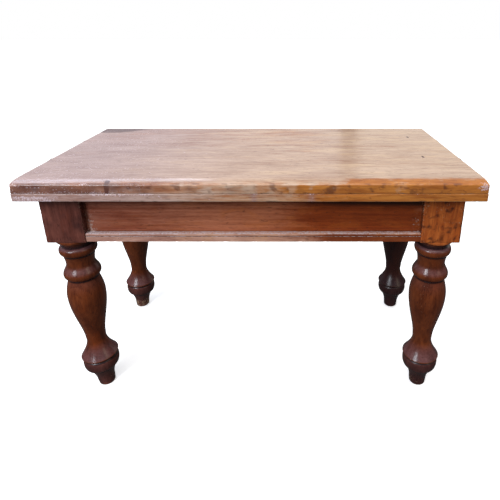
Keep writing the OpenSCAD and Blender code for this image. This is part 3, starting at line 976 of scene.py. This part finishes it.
def frieze_grime(co, side, half, top):
    """Painted shade under the lining, deepest towards the right of the front, in the corner above the
    strip, and beside every block but the front right one, whose end the light from the left reaches.
    """
    # painted shadow under the overhanging top, deeper towards the right of the front
    under = 0.5 * ramp(top - 30 * MM, top, co.z)
    if side == "front":
        under = max(under, 0.95 * ramp(top - 54 * MM, top - 26 * MM, co.z) * ramp(-0.1, 0.35, co.x))
    # painted shade in the corner above the strip
    above = 0.7 * ramp(5 * MM, 0, co.z - STRIP_TOP) if co.z > STRIP_TOP else 0.0
    # painted shade beside the blocks, left off at the front's right end, where the light from the left
    # falls
    corner = 0.0 if side == "front" and co.x > 0 else 0.75 * ramp(5 * MM, 0, frieze_end(co, side, half))
    return max(under, above, corner)


def frieze_scuff(co, side, half):
    """Scuffed near both ends, more at the left and low down, and smeared once on the front."""
    end = frieze_end(co, side, half)
    beside = (0.32 if co.x < 0 else 0.2) * ramp(42 * MM, 15 * MM, end) * (1 if end > MM else 0)
    beside *= 0.5 + ramp(STRIP_TOP + 70 * MM, STRIP_TOP + 20 * MM, co.z)
    smear = 0.0
    if side == "front":
        smear = 0.16 * peak(co.x - SMEAR_X, SMEAR_R)
    return 0.10 + max(beside, smear)


def strip_varnish(co, normal, rubbed):
    """The strip is rubbed nearly bare, except towards the right of the front."""
    on_face = 0.28 + 0.62 * ramp(0.04, 0.26, co.x)
    return on_face - 0.5 * on_face * ramp(0.2, 0.8, normal.z) - 0.25 * rubbed


def make_strip(side, seed):
    """The strip along the foot of the frieze: rounded upper arris and a fine quirk below it."""
    name = "strip_" + side
    low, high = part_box(name)
    half, face, back = run_of("strip", side)
    quirk = high.z - 7 * MM
    shape = outline([
        (face, low.z, 1.2 * MM, 5 * MM, True),
        (back, low.z, 0.4 * MM, 7 * MM),
        (back, high.z, 0.3 * MM, 5 * MM),
        (face, high.z, 3 * MM, 3 * MM, True),
        (face, quirk, 0.5 * MM, 1 * MM),
        (face + 1.3 * MM, quirk - 0.8 * MM, 0.2 * MM, 1 * MM),
        (face, quirk - 1.6 * MM, 0.5 * MM, 3 * MM),
    ])
    along = list(np.linspace(-half, half, round(2 * half / (4 * MM))))
    piece, reach = loft(name + "_worn", shape, along, setter(side))
    rubbed = weather(piece, reach, seed, chip=0.8 * MM, arris=2.6 * MM, often=0.2)
    dress(
        piece, MATERIALS["strip_" + grain_axis(side)], "frieze_wood", seed,
        setter(side)(0, face + 60 * MM, low.z),
        varnish=lambda co, n, i: strip_varnish(co, n, rubbed[i]),
        grime=lambda co, n, i: 0.8 * ramp(1.6 * MM, 0.6 * MM, abs(co.z - quirk + 0.8 * MM)),
        # painted pale highlight on the up-facing ledge, through the scuff and fade values on the next two
        # lines
        scuff=lambda co, n, i: 0.14 + 0.50 * ramp(0.3, 0.9, n.z) + 0.1 * rubbed[i],
        fade=lambda co, n, i: worn_left(co.x - 0.1) * (0.55 + 0.45 * ramp(0.2, 0.8, n.z)),
    )
    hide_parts(name)


# ------ what stays as the CAD made it
def finish_cad_nodes():
    """The inside pieces keep their CAD shapes and get a material, and those of wood a softened arris."""
    looks = {
        "bare_pine_X": ["tongue_front", "tongue_back", "button_left", "button_right"],
        "bare_pine_Y": [
            "centre_bearer", "button_front_left", "button_front_right",
            "button_back_left", "button_back_right",
        ],
        "dull_iron": ["button_screws", "bearer_screws", "lining_screws", "strip_brads", "top_nails"],
    }
    for look, name in ((look, name) for look, names in looks.items() for name in names):
        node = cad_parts[name]
        node.data.materials.clear()
        node.data.materials.append(MATERIALS[look])
        if look != "dull_iron":
            node.modifiers.new("weld", "WELD").merge_threshold = 0.01 * MM
            soften = node.modifiers.new("arris", "BEVEL")
            soften.width, soften.segments = 0.8 * MM, 2
            soften.limit_method, soften.angle_limit = "ANGLE", math.radians(50)


# ------ studio
def add_light(name, kind, position, target, power, colour):
    """Adds a light at position that shines towards target."""
    holder = bpy.data.objects.new(name, bpy.data.lights.new(name, kind))
    holder.data.energy, holder.data.color = power, colour
    holder.location = position
    holder.rotation_euler = (Vector(target) - Vector(position)).to_track_quat("-Z", "Y").to_euler()
    bpy.context.scene.collection.objects.link(holder)
    return holder


def add_panel(name, position, target, width, height, power, colour):
    """Adds a rectangular light that the camera doesn't see."""
    holder = add_light(name, "AREA", position, target, power, colour)
    holder.data.shape, holder.data.size, holder.data.size_y = "RECTANGLE", width, height
    holder.visible_camera = False


def make_floor():
    """A white floor, faintly lit from below. It throws no light or reflection on the table."""
    reach = 40.0  # far past what the camera sees
    corners = [(-reach, -reach, 0), (reach, -reach, 0), (reach, reach, 0), (-reach, reach, 0)]
    floor = new_mesh("floor", corners, [(0, 1, 2, 3)])
    g = Graph(bpy.data.materials.new("pale_floor"))
    diffuse = g.node("ShaderNodeBsdfDiffuse", None, {"Color": (0.9, 0.9, 0.9)})
    glow = g.node("ShaderNodeEmission", None, {"Strength": 0.45})
    both = g.node("ShaderNodeAddShader", None, {0: diffuse.outputs[0], 1: glow.outputs[0]})
    floor.data.materials.append(g.finish(both))
    floor.visible_diffuse = False
    floor.visible_glossy = False


def make_world():
    """White to the camera. The table is lit by a grey that is dim up to the height low and then grows
    brighter, most of all overhead."""
    g = Graph(bpy.data.worlds.new("studio"))
    split = g.node("ShaderNodeSeparateXYZ", None, {0: g.node("ShaderNodeTexCoord").outputs["Generated"]})
    low, dim, bright = 0.28, 0.09, 1.05
    inputs = {0: split.outputs["Z"], 1: low, 2: 1.0, 3: dim, 4: bright}
    sky = g.node("ShaderNodeMapRange", None, inputs).outputs[0]
    lit = g.node("ShaderNodeBackground", None, {0: (0.93, 0.96, 1.0), 1: sky})
    seen = g.node("ShaderNodeBackground", None, {0: (1, 1, 1), 1: 1.0})
    by_camera = g.node("ShaderNodeLightPath").outputs["Is Camera Ray"]
    mix = g.node("ShaderNodeMixShader", None, {0: by_camera, 1: lit.outputs[0], 2: seen.outputs[0]})
    bpy.context.scene.world = g.finish(mix, "ShaderNodeOutputWorld")


def make_lights():
    """Daylight from the front left, a little warm light from the right, and pale panels behind the
    table for the old varnish to reflect. The gap between the two low ones shows as a darker band."""
    make_world()
    sun = add_light("sun", "SUN", (0, 0, 0), (0.1, 0.35, -1.0), 1.30, (1.0, 0.96, 0.91))
    sun.data.angle = math.radians(50)
    add_panel("window", (-1.9, -2.7, 2.1), (0, 0, 0.5), 1.2, 1.2, 88, (0.88, 0.93, 1.0))
    add_panel("warm_fill", (2.6, -1.8, 1.9), (0.3, -0.2, 0.5), 1.2, 1.2, 13, (1.0, 0.78, 0.56))
    add_panel("back_left", (-1.38, 2.7, 1.7), (-1.38, 0, 1.4), 3.9, 2.2, 18, (0.96, 0.94, 1.0))
    add_panel("back_right", (2.47, 2.7, 1.7), (2.47, 0, 1.4), 3.5, 2.2, 18, (1.0, 0.94, 0.86))
    add_panel("high_left", (-1.5, 1.6, 2.45), (-0.4, -0.3, 0.73), 1.9, 0.6, 16, (0.70, 0.80, 1.0))


def make_camera():
    """The camera stands in front of the table and above it, looking down by about 20 degrees."""
    pitch, yaw, roll = (math.radians(a) for a in (19.522, -0.054, -0.011))
    forward = Vector((math.sin(yaw) * math.cos(pitch), math.cos(yaw) * math.cos(pitch), -math.sin(pitch)))
    right = Vector((math.cos(yaw), -math.sin(yaw), 0))
    up = right.cross(forward)
    right, up = (
        right * math.cos(roll) + up * math.sin(roll),
        up * math.cos(roll) - right * math.sin(roll),
    )
    data = bpy.data.cameras.new("camera")
    data.sensor_width = 36.0
    data.lens = 31.052
    data.shift_x, data.shift_y = -0.0862, -0.1385
    camera = bpy.data.objects.new("camera", data)
    turn = Matrix((right, up, -forward)).transposed().to_4x4()
    camera.matrix_world = Matrix.Translation((0.11128, -1.33108, 1.09334)) @ turn
    bpy.context.scene.collection.objects.link(camera)
    bpy.context.scene.camera = camera


# ------ build
MATERIALS = {}
for kind, (axes, look) in WOODS.items():
    for axis in axes:
        label = kind + "_" + axis if len(axes) > 1 else kind
        MATERIALS[label] = wood(label, axis, **look)
MATERIALS["dull_iron"] = dark_iron()

make_camera()
make_lights()
make_floor()
edge_shape = edge_board_outline()
front_board = make_board("board_front", "front", edge_shape, 1.0)
middle_board = make_board("board_middle", "front", middle_board_outline(), 2.0)
back_board = make_board("board_back", "back", edge_shape, 3.0)
punch_nail_holes([front_board, middle_board, back_board])
for number, side in enumerate(SIDES):
    make_lining(side, 4.0 + number)
    make_frieze(side, 8.0 + number)
    make_strip(side, 12.0 + number)
for number, name in enumerate(n for n in sorted(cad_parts) if n.startswith("leg_")):
    make_leg(name, 16.0 + number)
finish_cad_nodes()

bpy.context.scene.view_settings.view_transform = "Standard"
bpy.context.scene.view_settings.look = "None"
